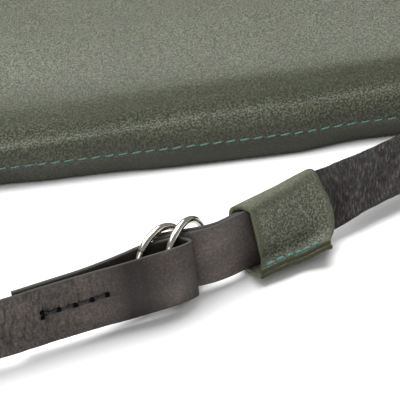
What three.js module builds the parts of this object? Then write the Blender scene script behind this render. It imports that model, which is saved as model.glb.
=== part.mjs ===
// Clutch bag lying on its back: a plump leather pouch, open at the far edge, with a strap that
// closes in front of it through two rings and a leather keeper. Millimetres, +Z up, +Y to the mouth.
import * as THREE from "three";

// Driving sizes
const BAG_HALF_WIDTH = 135;
const BAG_HALF_DEPTH = 86.5;
const BAG_CORNER = 18;
const PANEL_WALL = 1.6;
const MOUTH_FULL = 84;
const MOUTH_ENDS = 124;
const STRAP_WIDTH = 18.4;
const STRAP_THICK = 1.5;
const RING_RADIUS = 11.65;
const RING_WIRE = 1.15;
const KEEPER_WALL = 1.5;

const GREEN = { color: 0x59605a, roughness: 0.55, metalness: 0 };
const BROWN = { color: 0x3a3534, roughness: 0.55, metalness: 0 };
const NICKEL = { color: 0xc9c7bf, roughness: 0.18, metalness: 1 };

// Outer skin of the upper panel, one row per fold line from the seam up to the crown:
// inset from the outline and height, along the near edge, the two sides and the mouth.
const FRONT_SKIN = [
  { line: "seam", nearIn: 2.6, nearZ: 3.3, sideIn: 1.3, sideZ: 3.3, mouthIn: 0.2, mouthZ: 12.6 },
  { line: "roll", nearIn: 2.55, nearZ: 4.6, sideIn: 0.3, sideZ: 4.7, mouthIn: 1.2, mouthZ: 13.4 },
  { line: "bulge", nearIn: 2.75, nearZ: 6.2, sideIn: 0.0, sideZ: 6.4, mouthIn: 2.6, mouthZ: 14.2 },
  { line: "stitch", nearIn: 3.2, nearZ: 7.9, sideIn: 1.3, sideZ: 8.6, mouthIn: 4.6, mouthZ: 15.2 },
  { line: "dip", nearIn: 4.4, nearZ: 11.3, sideIn: 3.6, sideZ: 11.0, mouthIn: 7.0, mouthZ: 16.4 },
  { line: "shelf", nearIn: 6.5, nearZ: 14.4, sideIn: 7.6, sideZ: 15.0, mouthIn: 10.0, mouthZ: 17.7 },
  { line: "ledge", nearIn: 9.0, nearZ: 16.5, sideIn: 11.4, sideZ: 18.7, mouthIn: 13.4, mouthZ: 19.2 },
  { line: "steep", nearIn: 12.0, nearZ: 20.2, sideIn: 15.4, sideZ: 21.6, mouthIn: 17.4, mouthZ: 20.8 },
  { line: "shoulder", nearIn: 16.9, nearZ: 24.6, sideIn: 20.5, sideZ: 24.2, mouthIn: 22.4, mouthZ: 22.7 },
  { line: "slope", nearIn: 25.5, nearZ: 27.8, sideIn: 28.0, sideZ: 27.0, mouthIn: 30.0, mouthZ: 25.6 },
  { line: "upper", nearIn: 38.6, nearZ: 30.3, sideIn: 40.0, sideZ: 30.0, mouthIn: 41.5, mouthZ: 29.0 },
  { line: "top", nearIn: 58.0, nearZ: 32.3, sideIn: 58.0, sideZ: 32.2, mouthIn: 59.0, mouthZ: 31.9 },
  { line: "crown", nearIn: 86.5, nearZ: 33.2, sideIn: 86.5, sideZ: 33.2, mouthIn: 86.5, mouthZ: 33.2 },
];

// Outer skin of the lower panel from the seam down to the flat that lies on the floor.
const BACK_SKIN = [
  { line: "seam", nearIn: 2.6, nearZ: 2.94, sideIn: 1.5, sideZ: 3.0, mouthIn: 0.2, mouthZ: 0.9 },
  { line: "roll", nearIn: 2.62, nearZ: 2.0, sideIn: 2.3, sideZ: 1.8, mouthIn: 2.0, mouthZ: 0.5 },
  { line: "turn", nearIn: 3.3, nearZ: 0.7, sideIn: 4.0, sideZ: 0.7, mouthIn: 4.4, mouthZ: 0.2 },
  { line: "foot", nearIn: 4.9, nearZ: 0.0, sideIn: 7.0, sideZ: 0.0, mouthIn: 7.0, mouthZ: 0.0 },
  { line: "flat", nearIn: 40.0, nearZ: 0.0, sideIn: 40.0, sideZ: 0.0, mouthIn: 40.0, mouthZ: 0.0 },
  { line: "middle", nearIn: 86.5, nearZ: 0.0, sideIn: 86.5, sideZ: 0.0, mouthIn: 86.5, mouthZ: 0.0 },
];

// Straps as seen from above: middle of the band, height of its middle, lean from upright towards
// the left of the way it runs, and how far its middle bows out to that side.
const LEFT_RUN = [
  { x: -129.0, y: 52.0, z: 15.0, lean: 45, bow: 0 },
  { x: -129.0, y: 30.0, z: 15.0, lean: 45, bow: 0 },
  { x: -131.5, y: 4.0, z: 14.0, lean: 44, bow: 0 },
  { x: -137.5, y: -30.0, z: 12.3, lean: 32, bow: 0 },
  { x: -142.0, y: -70.0, z: 11.1, lean: 18, bow: 0 },
  { x: -142.5, y: -110.0, z: 10.4, lean: 8, bow: 0 },
  { x: -138.5, y: -145.0, z: 10.4, lean: 3, bow: 0 },
  { x: -125.0, y: -174.0, z: 10.6, lean: 0, bow: 0 },
  { x: -104.0, y: -191.0, z: 11.0, lean: 0, bow: 0 },
  { x: -80.0, y: -194.0, z: 11.6, lean: 0, bow: 0 },
  { x: -54.6, y: -188.5, z: 12.2, lean: 0, bow: 0 },
  { x: -39.8, y: -183.5, z: 12.3, lean: 0, bow: 0 },
  { x: -25.6, y: -179.0, z: 12.5, lean: 0, bow: -0.8 },
];

const FOLD_ORIGIN = { x: 4.44, y: -169.63, heading: 19.5 };

// Round the rings, measured along (s) and behind (h) the front of the left fold.
const LEFT_FOLD = [
  { s: -21.5, h: 0.75, z: 12.65, lean: 0, bow: -2.3 },
  { s: -15.0, h: 0.55, z: 12.7, lean: 0, bow: -3.1 },
  { s: -9.0, h: 0.4, z: 12.7, lean: 0, bow: -3.4 },
  { s: -4.0, h: 0.5, z: 12.7, lean: 0, bow: -1.7 },
  { s: -1.6, h: 0.75, z: 12.7, lean: 0, bow: -0.4 },
  { s: -0.55, h: 1.1, z: 12.7, lean: 0, bow: 0 },
  { s: -0.2, h: 1.9, z: 12.7, lean: 0, bow: 0 },
  { s: -0.55, h: 2.8, z: 12.7, lean: 0, bow: 0 },
  { s: -1.3, h: 3.9, z: 12.7, lean: 0, bow: 0 },
  { s: -2.3, h: 5.2, z: 12.7, lean: 0, bow: 0 },
  { s: -3.5, h: 6.0, z: 12.7, lean: 0, bow: 0 },
  { s: -6.0, h: 6.25, z: 12.7, lean: 0, bow: 0 },
  { s: -9.5, h: 6.7, z: 12.7, lean: 0, bow: 0 },
  { s: -14.5, h: 8.0, z: 12.7, lean: 0, bow: 0 },
  { s: -20.0, h: 7.3, z: 12.65, lean: 0, bow: 0 },
  { s: -27.0, h: 5.7, z: 12.5, lean: 0, bow: 0 },
  { s: -35.0, h: 4.25, z: 12.4, lean: 0, bow: 0 },
  { s: -43.0, h: 3.85, z: 12.3, lean: 0, bow: 0 },
  { s: -54.0, h: 3.75, z: 12.2, lean: 0, bow: 0 },
];

const RIGHT_RUN = [
  { x: 129.0, y: 52.0, z: 15.0, lean: -45, bow: 0 },
  { x: 129.0, y: 30.0, z: 15.0, lean: -45, bow: 0 },
  { x: 131.5, y: 4.0, z: 14.2, lean: -45, bow: 0 },
  { x: 136.0, y: -28.0, z: 12.8, lean: -46, bow: 0 },
  { x: 137.5, y: -55.0, z: 12.4, lean: -48, bow: 0 },
  { x: 131.0, y: -78.5, z: 12.0, lean: -54, bow: 0 },
  { x: 113.0, y: -95.5, z: 11.3, lean: -60, bow: 0 },
  { x: 90.0, y: -107.5, z: 10.8, lean: -62, bow: 0 },
  { x: 67.2, y: -120.8, z: 10.3, lean: -64, bow: 0 },
  { x: 54.6, y: -129.2, z: 10.8, lean: -58, bow: 0 },
  { x: 45.0, y: -137.9, z: 11.9, lean: -36, bow: 0 },
  { x: 34.0, y: -146.0, z: 11.9, lean: -14, bow: 0 },
  { x: 20.4, y: -155.2, z: 12.3, lean: -3, bow: 0 },
];

const RIGHT_FOLD = [
  { s: 9.4, h: 5.7, z: 12.55, lean: 0, bow: 0.6 },
  { s: 3.0, h: 5.9, z: 12.7, lean: 0, bow: 0.4 },
  { s: -1.5, h: 7.25, z: 12.7, lean: 0, bow: 0 },
  { s: -4.5, h: 8.05, z: 12.7, lean: 0, bow: 0 },
  { s: -7.4, h: 8.45, z: 12.7, lean: 0, bow: 0 },
  { s: -8.3, h: 8.8, z: 12.7, lean: 0, bow: 0 },
  { s: -8.65, h: 9.45, z: 12.7, lean: 0, bow: 0 },
  { s: -8.3, h: 10.1, z: 12.7, lean: 0, bow: 0 },
  { s: -7.3, h: 10.35, z: 12.7, lean: 0, bow: 0 },
  { s: -5.0, h: 9.85, z: 12.7, lean: 0, bow: 0 },
  { s: -1.2, h: 9.0, z: 12.7, lean: 0, bow: 0 },
  { s: 3.6, h: 7.75, z: 12.55, lean: 0, bow: 0.4 },
  { s: 9.8, h: 7.6, z: 12.1, lean: 0, bow: 0.6 },
  { s: 20.2, h: 10.0, z: 11.8, lean: 3, bow: 0 },
  { s: 30.0, h: 12.62, z: 11.6, lean: 10, bow: 0 },
];

// Rings: middle along and behind the fold, height, heading of the ring's plane, backward lean.
const RINGS = [
  { name: "ring_left", s: -8.0, h: 8.65, z: 12.81, heading: 49.5, lean: 0 },
  { name: "ring_right", s: 0.0, h: 7.85, z: 12.81, heading: 57.5, lean: 0 },
];

// Keeper: a strip laid round the strap, its ends sewn together in a flange at the front.
// Middle of the strip, in front of (front) and above (rise) the middle of the strap, and how far
// it slides along it towards the rings at the end next to them (mouth) and at the other end (far),
// where the flange also hangs lower on the leaning strap (drop).
const KEEPER_FROM = 11.9;
const KEEPER_TO = 9.98;
const KEEPER_SECTION = [
  { front: 7.8, rise: -7.9, mouth: 2.8, far: 9.8, drop: 3.9 },
  { front: 6.2, rise: -8.0, mouth: 1.8, far: 9.0, drop: 3.9 },
  { front: 4.6, rise: -8.05, mouth: 0.6, far: 7.4, drop: 3.9 },
  { front: 3.3, rise: -7.8, mouth: -0.6, far: 5.4, drop: 3.6 },
  { front: 2.5, rise: -6.7, mouth: -1.4, far: 2.2, drop: 2.6 },
  { front: 2.2, rise: -3.68, mouth: -1.2, far: -0.5, drop: 1.2 },
  { front: 2.3, rise: 0.0, mouth: -0.8, far: -1.5, drop: 0 },
  { front: 2.2, rise: 3.68, mouth: -0.4, far: -1.5, drop: 0 },
  { front: 2.1, rise: 7.7, mouth: 0, far: -1.8, drop: 0 },
  { front: 1.95, rise: 9.3, mouth: 0.2, far: -1.8, drop: 0 },
  { front: 1.15, rise: 10.15, mouth: 0.6, far: -1.5, drop: 0 },
  { front: -0.4, rise: 10.4, mouth: 1.2, far: -1.0, drop: 0 },
  { front: -2.0, rise: 10.25, mouth: 2.0, far: -0.4, drop: 0 },
  { front: -3.4, rise: 9.7, mouth: 2.8, far: 0.6, drop: 0 },
  { front: -4.1, rise: 8.4, mouth: 3.4, far: 2.4, drop: 0 },
  { front: -4.1, rise: 4.2, mouth: 3.8, far: 3.2, drop: 0 },
  { front: -4.1, rise: 0.0, mouth: 3.8, far: 3.2, drop: 0 },
  { front: -4.1, rise: -5.2, mouth: 3.4, far: 3.4, drop: 0 },
  { front: -4.1, rise: -8.8, mouth: 3.0, far: 3.6, drop: 0 },
  { front: -3.5, rise: -10.45, mouth: 2.6, far: 3.8, drop: 0.3 },
  { front: -1.2, rise: -10.7, mouth: 2.2, far: 4.4, drop: 0.8 },
  { front: 1.6, rise: -10.7, mouth: 2.4, far: 7.6, drop: 1.9 },
  { front: 5.0, rise: -10.15, mouth: 3.4, far: 9.6, drop: 3.2 },
  { front: 8.3, rise: -9.75, mouth: 4.8, far: 11.2, drop: 3.9 },
];

const RAD = Math.PI / 180;

function mesh(name, points, faces, finish) {
  const geometry = new THREE.BufferGeometry();
  geometry.setAttribute("position", new THREE.Float32BufferAttribute(points.flat(), 3));
  geometry.setIndex(faces.flat());
  geometry.computeVertexNormals();
  const made = new THREE.Mesh(geometry, new THREE.MeshStandardMaterial(finish));
  made.name = name;
  return made;
}

// Faces between the rings of a stack of equal rings of points; facing turns them over.
function stackFaces(rows, columns, facing) {
  const faces = [];
  for (let i = 0; i < rows - 1; i += 1) {
    const a = i * columns;
    const b = a + columns;
    for (let j = 0; j < columns; j += 1) {
      const k = (j + 1) % columns;
      if (facing > 0) {
        faces.push([a + j, a + k, b + k], [a + j, b + k, b + j]);
      } else {
        faces.push([a + j, b + k, a + k], [a + j, b + j, b + k]);
      }
    }
  }
  return faces;
}

// A band whose cross-sections, two equal edges each, are stacked and closed at both ends.
function bandFaces(rows, columns) {
  const faces = stackFaces(rows, columns, -1);
  const end = (rows - 1) * columns;
  for (let j = 0; j < columns / 2 - 1; j += 1) {
    const b = j + 1;
    const c = columns - 2 - j;
    const d = columns - 1 - j;
    faces.push([j, b, c], [j, c, d]);
    faces.push([end + j, end + c, end + b], [end + j, end + d, end + c]);
  }
  return faces;
}

function smooth(from, to, value) {
  const t = Math.min(1, Math.max(0, (value - from) / (to - from)));
  return t * t * (3 - 2 * t);
}

// Stations round the pouch's outline, as a direction out of the outline and a place on it.
function outlineStations() {
  const stations = [];
  const sides = [
    { from: [-1, -1], to: [1, -1], out: [0, -1], count: 24 },
    { from: [1, -1], to: [1, 1], out: [1, 0], count: 14 },
    { from: [1, 1], to: [-1, 1], out: [0, 1], count: 24 },
    { from: [-1, 1], to: [-1, -1], out: [-1, 0], count: 14 },
  ];
  for (const side of sides) {
    for (let i = 0; i <= side.count; i += 1) {
      const t = i / side.count;
      stations.push({
        u: side.from[0] + (side.to[0] - side.from[0]) * t,
        v: side.from[1] + (side.to[1] - side.from[1]) * t,
        out: side.out,
      });
    }
    const start = Math.atan2(side.out[1], side.out[0]);
    for (let i = 1; i < 5; i += 1) {
      const angle = start + (i / 5) * (Math.PI / 2);
      stations.push({ u: side.to[0], v: side.to[1], out: [Math.cos(angle), Math.sin(angle)] });
    }
  }
  return stations;
}

// A point of a panel's skin: the outline shrunk by the row's inset, at the row's height.
function skinPoint(row, station) {
  const near = Math.max(0, -station.out[1]) ** 2;
  const far = Math.max(0, station.out[1]) ** 2;
  const across = Math.abs(station.u) * (BAG_HALF_WIDTH - BAG_CORNER);
  const mouth = far * (1 - smooth(MOUTH_FULL, MOUTH_ENDS, across));
  const side = 1 - near - mouth;
  const inset = row.nearIn * near + row.sideIn * side + row.mouthIn * mouth;
  const height = row.nearZ * near + row.sideZ * side + row.mouthZ * mouth;
  const shrink = Math.min(inset, BAG_HALF_DEPTH);
  const corner = BAG_CORNER * (1 - shrink / BAG_HALF_DEPTH);
  const halfX = BAG_HALF_WIDTH - shrink - corner;
  const halfY = BAG_HALF_DEPTH - shrink - corner;
  return new THREE.Vector3(
    station.u * halfX + station.out[0] * corner,
    station.v * halfY + station.out[1] * corner,
    height,
  );
}

// A panel of even wall: its outer skin, the same skin set in by the wall, and the rim between.
// facing is 1 for the upper panel and -1 for the lower one.
function panel(name, skin, facing, finish) {
  const stations = outlineStations();
  const outer = skin.map((row) => stations.map((station) => skinPoint(row, station)));
  const inner = skin.map((row, i) =>
    stations.map((station, j) => {
      const next = outer[Math.min(i + 1, skin.length - 1)][j];
      const before = outer[Math.max(i - 1, 0)][j];
      const run = next.clone().sub(before);
      const outward = run.x * station.out[0] + run.y * station.out[1];
      const normal = new THREE.Vector3(station.out[0] * run.z, station.out[1] * run.z, -outward);
      if (i === skin.length - 1) {
        normal.set(0, 0, 1);
      }
      return outer[i][j].clone().addScaledVector(normal.normalize(), -facing * PANEL_WALL);
    }),
  );
  const rows = [...inner.slice().reverse(), ...outer];
  const points = rows.flat().map((point) => point.toArray());
  return mesh(name, points, stackFaces(rows.length, stations.length, facing), finish);
}

function foldPoint(row) {
  const c = Math.cos(FOLD_ORIGIN.heading * RAD);
  const s = Math.sin(FOLD_ORIGIN.heading * RAD);
  return {
    x: FOLD_ORIGIN.x + row.s * c - row.h * s,
    y: FOLD_ORIGIN.y + row.s * s + row.h * c,
    z: row.z,
    lean: row.lean,
    bow: row.bow,
  };
}

// The band's middle and directions at a place along its rows, upright unless it leans.
function bandFrame(rows, place) {
  const curve = new THREE.CatmullRomCurve3(
    rows.map((row) => new THREE.Vector3(row.x, row.y, row.z)),
    false,
    "centripetal",
  );
  const spans = rows.length - 1;
  const k = Math.min(spans - 1, Math.floor(place));
  const t = place - k;
  const blend = t * t * (3 - 2 * t);
  const lean = (rows[k].lean + (rows[k + 1].lean - rows[k].lean) * blend) * RAD;
  const along = curve.getTangent(place / spans);
  const upright = new THREE.Vector3(0, 0, 1).addScaledVector(along, -along.z).normalize();
  const left = upright.clone().cross(along);
  const wide = upright.multiplyScalar(Math.cos(lean)).addScaledVector(left, Math.sin(lean));
  return {
    centre: curve.getPoint(place / spans),
    along,
    wide,
    thick: wide.clone().cross(along),
    bow: rows[k].bow + (rows[k + 1].bow - rows[k].bow) * blend,
  };
}

// A band swept along its rows with a slightly bowed section.
function strap(name, rows, steps, finish) {
  const total = (rows.length - 1) * steps;
  const points = [];
  const across = [-1, -0.4, 0.4, 1];
  for (let i = 0; i <= total; i += 1) {
    const frame = bandFrame(rows, i / steps);
    const side = (sign) =>
      across.map((a) =>
        frame.centre
          .clone()
          .addScaledVector(frame.wide, (a * STRAP_WIDTH) / 2)
          .addScaledVector(frame.thick, frame.bow * (1 - a * a) + (sign * STRAP_THICK) / 2)
          .toArray(),
      );
    points.push(...side(-1), ...side(1).reverse());
  }
  return mesh(name, points, bandFaces(total + 1, across.length * 2), finish);
}

function ring(row) {
  const geometry = new THREE.TorusGeometry(RING_RADIUS, RING_WIRE, 10, 40);
  geometry.rotateX(Math.PI / 2 - row.lean * RAD);
  geometry.rotateZ(row.heading * RAD);
  const at = foldPoint({ ...row, bow: 0 });
  geometry.translate(at.x, at.y, at.z);
  geometry.deleteAttribute("uv");
  const made = new THREE.Mesh(geometry, new THREE.MeshStandardMaterial(NICKEL));
  made.name = row.name;
  return made;
}

// The keeper's strip: its section, set off to both faces, carried along the strap it holds.
function keeper(name, rows, finish) {
  const cuts = 7;
  const middle = KEEPER_SECTION.map((row) => new THREE.Vector2(row.front, row.rise));
  const offset = (sign) =>
    middle.map((point, j) => {
      const next = middle[Math.min(j + 1, middle.length - 1)];
      const before = middle[Math.max(j - 1, 0)];
      const run = next.clone().sub(before).normalize();
      return new THREE.Vector2(run.y, -run.x).multiplyScalar((sign * KEEPER_WALL) / 2).add(point);
    });
  const section = [...offset(1), ...offset(-1).reverse()];
  const ends = [...KEEPER_SECTION, ...KEEPER_SECTION.slice().reverse()];
  const points = [];
  for (let i = 0; i < cuts; i += 1) {
    const share = i / (cuts - 1);
    const place = KEEPER_FROM + (KEEPER_TO - KEEPER_FROM) * share;
    const frame = bandFrame(rows, place);
    section.forEach((point, j) => {
      const slide = ends[j].mouth + (ends[j].far - ends[j].mouth) * share;
      const at = frame.centre.clone().addScaledVector(frame.along, slide);
      const rise = point.y - ends[j].drop * share * share;
      at.addScaledVector(frame.thick, point.x).addScaledVector(frame.wide, rise);
      points.push(at.toArray());
    });
  }
  return mesh(name, points, bandFaces(cuts, section.length), finish);
}

const bag = new THREE.Group();
bag.name = "clutch_bag";
bag.add(panel("front_panel", FRONT_SKIN, 1, GREEN));
bag.add(panel("back_panel", BACK_SKIN, -1, GREEN));
const leftRows = [...LEFT_RUN, ...LEFT_FOLD.map(foldPoint)];
const rightRows = [...RIGHT_RUN, ...RIGHT_FOLD.map(foldPoint)];
bag.add(strap("strap_left", leftRows, 3, BROWN));
bag.add(strap("strap_right", rightRows, 3, BROWN));
for (const row of RINGS) {
  bag.add(ring(row));
}
bag.add(keeper("keeper", rightRows, GREEN));

export default bag;
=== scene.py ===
"""Clutch bag lying on its back: a soft green pouch, a dark strap closed by two rings, a keeper."""

from collections import namedtuple

import bmesh
import bpy
import numpy as np
from bpy.props import FloatProperty, FloatVectorProperty, PointerProperty
from mathutils import Matrix, Vector


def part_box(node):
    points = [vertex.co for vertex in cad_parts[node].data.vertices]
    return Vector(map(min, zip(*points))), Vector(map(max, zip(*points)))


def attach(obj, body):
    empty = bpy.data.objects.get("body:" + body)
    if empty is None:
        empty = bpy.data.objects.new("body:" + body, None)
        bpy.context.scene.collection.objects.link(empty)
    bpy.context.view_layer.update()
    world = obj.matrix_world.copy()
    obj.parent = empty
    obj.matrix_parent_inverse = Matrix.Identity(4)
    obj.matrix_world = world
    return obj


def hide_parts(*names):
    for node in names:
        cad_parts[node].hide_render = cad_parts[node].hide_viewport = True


bl_info = {
    "name": "Clutch Bag",
    "version": (1, 0, 0),
    "blender": (4, 5, 0),
    "location": "View3D > Sidebar > Clutch Bag",
    "description": "A leather clutch bag with a strap closed by two rings and a keeper",
    "category": "Object",
}

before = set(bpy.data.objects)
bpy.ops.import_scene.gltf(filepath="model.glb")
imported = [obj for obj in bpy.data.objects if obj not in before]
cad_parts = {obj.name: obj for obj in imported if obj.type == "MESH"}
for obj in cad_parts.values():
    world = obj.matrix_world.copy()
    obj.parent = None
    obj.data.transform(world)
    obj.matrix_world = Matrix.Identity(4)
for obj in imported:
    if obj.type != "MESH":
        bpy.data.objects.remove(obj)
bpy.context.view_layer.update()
MM = 0.001
BODY = "root"
PANEL_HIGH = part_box("front_panel")[1]
COLOUR = {"subtype": "COLOR", "min": 0, "max": 1}

# Lips of the rounded leather edges, and the distance under which points are one, in metres.
STRAP_LIP = 0.0005
KEEPER_LIP = 0.0003
MERGE = 1e-7

# Fineness: steps along and sides round the thread of one stitch, steps over a lip, the spacing of
# a strap's and the keeper's points in metres, and the samples that curves are measured with.
THREAD_STEPS = 9
THREAD_SIDES = 6
LIP_STEPS = 5
STRAP_ALONG = 0.0006
STRAP_ACROSS = 0.0007
KEEPER_ALONG = 0.0007
KEEPER_ROUND = 0.0004
STRAP_SAMPLES = 4000
KEEPER_SAMPLES = 1200
DOME_SAMPLES = 400

# The pouch's outer skin from the seam to the shoulder, in millimetres: inset from the outline
# and height along the near edge, the two sides and the open mouth.
SkinLine = namedtuple("SkinLine", "near_in near_z side_in side_z mouth_in mouth_z")
FRONT_SKIN = [
    SkinLine(2.72, 1.6, 1.3, 3.3, 0.2, 12.6),
    SkinLine(2.52, 3.6, 0.3, 4.7, 1.2, 13.4),
    SkinLine(2.72, 6.0, 0.0, 6.4, 2.6, 14.2),
    SkinLine(3.2, 7.9, 1.3, 8.6, 4.6, 15.2),
    SkinLine(4.4, 11.3, 3.6, 11.0, 7.0, 16.4),
    SkinLine(6.5, 14.4, 7.6, 15.0, 10.0, 17.7),
    SkinLine(9.0, 16.5, 11.4, 18.7, 13.4, 19.2),
    SkinLine(12.0, 20.2, 15.4, 21.6, 17.4, 20.8),
    SkinLine(16.9, 24.6, 20.5, 24.2, 22.4, 22.7),
    SkinLine(25.5, 27.8, 28.0, 27.0, 30.0, 25.6),
    SkinLine(38.6, 30.3, 40.0, 30.0, 41.5, 29.0),
    SkinLine(58.0, 32.3, 58.0, 32.2, 59.0, 31.9),
    SkinLine(86.5, 33.2, 86.5, 33.2, 86.5, 33.2),
]
# Rows of the front skin: where it is widest, where the topstitch lies, and where the rolled rim
# meets the dome.
WIDEST_LINE = 2.0
STITCH_LINE = 3
SHOULDER_LINE = 8
BACK_SKIN = [
    SkinLine(2.85, 1.25, 1.5, 3.0, 0.2, 0.9),
    SkinLine(3.1, 0.8, 2.3, 1.8, 2.0, 0.5),
    SkinLine(3.75, 0.3, 4.0, 0.7, 4.4, 0.2),
    SkinLine(5.0, 0.0, 7.0, 0.0, 7.0, 0.0),
    SkinLine(12.0, 0.0, 12.0, 0.0, 12.0, 0.0),
    SkinLine(24.0, 0.0, 24.0, 0.0, 24.0, 0.0),
]

# The straps seen from above, in millimetres and degrees: the middle of the band, its lean from
# upright towards the left of the way it runs, and how far its middle bows out to that side.
BandRow = namedtuple("BandRow", "x y z lean bow")
LEFT_RUN = [
    BandRow(-129.0, 52.0, 15.0, 45, 0),
    BandRow(-129.0, 30.0, 15.0, 45, 0),
    BandRow(-131.5, 4.0, 14.0, 44, 0),
    BandRow(-137.5, -30.0, 12.3, 32, 0),
    BandRow(-142.0, -70.0, 11.1, 18, 0),
    BandRow(-142.5, -110.0, 10.4, 8, 0),
    BandRow(-138.5, -145.0, 10.4, 3, 0),
    BandRow(-125.0, -174.0, 10.6, 0, 0),
    BandRow(-104.0, -191.0, 11.4, 0, 0),
    BandRow(-80.0, -194.0, 12.1, 0, 0),
    BandRow(-54.6, -188.5, 12.5, 0, 0),
    BandRow(-39.8, -183.5, 12.6, 0, 0),
    BandRow(-25.6, -179.0, 12.7, 0, -0.8),
]
RIGHT_RUN = [
    BandRow(129.0, 52.0, 15.0, -45, 0),
    BandRow(129.0, 30.0, 15.0, -45, 0),
    BandRow(131.5, 4.0, 14.2, -45, 0),
    BandRow(136.0, -28.0, 12.8, -46, 0),
    BandRow(137.5, -55.0, 12.4, -48, 0),
    BandRow(131.0, -78.5, 12.0, -54, 0),
    BandRow(113.0, -95.5, 11.3, -60, 0),
    BandRow(90.0, -107.5, 10.8, -62, 0),
    BandRow(67.2, -120.8, 10.3, -64, 0),
    BandRow(54.6, -129.2, 10.8, -58, 0),
    BandRow(45.0, -137.9, 11.9, -36, 0),
    BandRow(34.0, -146.0, 11.9, -14, 0),
    BandRow(20.4, -155.2, 12.3, -3, 0),
]

# Round the rings, measured along (s) and behind (h) the front of the left fold.
FOLD_ORIGIN = (4.44, -169.63)
FOLD_HEADING = 19.5
FoldRow = namedtuple("FoldRow", "s h z lean bow")
LEFT_FOLD = [
    FoldRow(-21.5, 0.75, 12.65, 0, -2.3),
    FoldRow(-15.0, 0.55, 12.7, 0, -3.1),
    FoldRow(-9.0, 0.4, 12.7, 0, -3.4),
    FoldRow(-4.0, 0.5, 12.7, 0, -1.7),
    FoldRow(-1.6, 0.75, 12.7, 0, -0.4),
    FoldRow(-0.55, 1.1, 12.7, 0, 0),
    FoldRow(-0.2, 1.9, 12.7, 0, 0),
    FoldRow(-0.55, 2.8, 12.7, 0, 0),
    FoldRow(-1.3, 3.9, 12.7, 0, 0),
    FoldRow(-2.3, 5.2, 12.7, 0, 0),
    FoldRow(-3.5, 6.0, 12.7, 0, 0),
    FoldRow(-6.0, 6.25, 12.7, 0, 0),
    FoldRow(-9.5, 6.7, 12.7, 0, 0),
    FoldRow(-14.5, 7.3, 12.4, 0, 0),
    FoldRow(-20.0, 6.2, 12.45, 0, 0),
    FoldRow(-24.5, 5.1, 12.7, 0, 0),
    FoldRow(-29.0, 4.2, 12.95, 0, 0),
    FoldRow(-35.0, 3.5, 13.1, 0, 0),
    FoldRow(-43.0, 3.4, 13.1, 0, 0),
    FoldRow(-55.5, 3.5, 12.95, 0, 0),
]
RIGHT_FOLD = [
    FoldRow(9.4, 5.7, 12.55, 0, 0.6),
    FoldRow(3.0, 5.9, 12.7, 0, 0.4),
    FoldRow(-1.5, 7.25, 12.7, 0, 0),
    FoldRow(-4.5, 8.05, 12.7, 0, 0),
    FoldRow(-7.4, 8.45, 12.7, 0, 0),
    FoldRow(-8.3, 8.8, 12.7, 0, 0),
    FoldRow(-8.65, 9.45, 12.7, 0, 0),
    FoldRow(-8.3, 10.1, 12.7, 0, 0),
    FoldRow(-7.3, 10.35, 12.7, 0, 0),
    FoldRow(-5.0, 9.85, 12.7, 0, 0),
    FoldRow(-1.2, 9.0, 12.7, 0, 0),
    FoldRow(3.6, 7.75, 12.55, 0, 0.4),
    FoldRow(9.8, 7.6, 12.1, 0, 0.6),
    FoldRow(20.2, 10.0, 11.8, 3, 0),
    FoldRow(30.0, 12.62, 11.6, 10, 0),
]

# How brown the straps are, at distances in millimetres from the ends of their tails: the leather's
# own brown mixed with painted sheen where the face catches the light, and a painted shadow where
# the right strap enters the keeper.
LEFT_TONE = [(0, 0.5), (57, 0), (60, 0.25), (66, 0.75), (71, 0.4), (75, 0.05), (80, 0), (86, 0.5)]
LEFT_TONE += [(94, 0.85), (110, 0.9), (140, 0.8), (430, 0.6)]
RIGHT_TONE = [(0, 0.5), (40, 0.3), (48, 0.5), (56, 1), (64, 0.8), (70, 0.2), (90, 0), (340, 0)]

# How worn the straps are, at distances in metres from the ends of their tails: the least wear, and
# the gain that eases in over a reach from a start.
Wear = namedtuple("Wear", "start reach gain least")
LEFT_CREASE = Wear(0.076, 0.03, 1.5, 0.06)
LEFT_SLACK = Wear(0.09, 0.02, 0.00006, 0.0)
RIGHT_CREASE = Wear(0.08, 0.02, 2.8, 0.03)
RIGHT_SLACK = Wear(0.08, 0.02, 0.0003, 0.0)

# The hand sewing on the left strap, in millimetres: its holes back from the end of the tail and up
# from the middle of the strap, and the two ends of its thread up from there.
HOLES_BACK = [105.5, 101.5, 96.5, 91.5, 86.8]
HOLES_UP = [0.75, 1.0, 1.05, 1.35, 1.75]
FORKS_UP = [1.7, 0.0]

# The rings: where their middles stand round the fold, their headings in degrees, and where round
# the wire its two ends meet, in radians.
RingRow = namedtuple("RingRow", "name s h z heading joint")
RINGS = [
    RingRow("ring_left", -8.0, 8.65, 12.81, 49.5, 2.3),
    RingRow("ring_right", 0.0, 7.85, 12.81, 57.5, 4.7),
]

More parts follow.
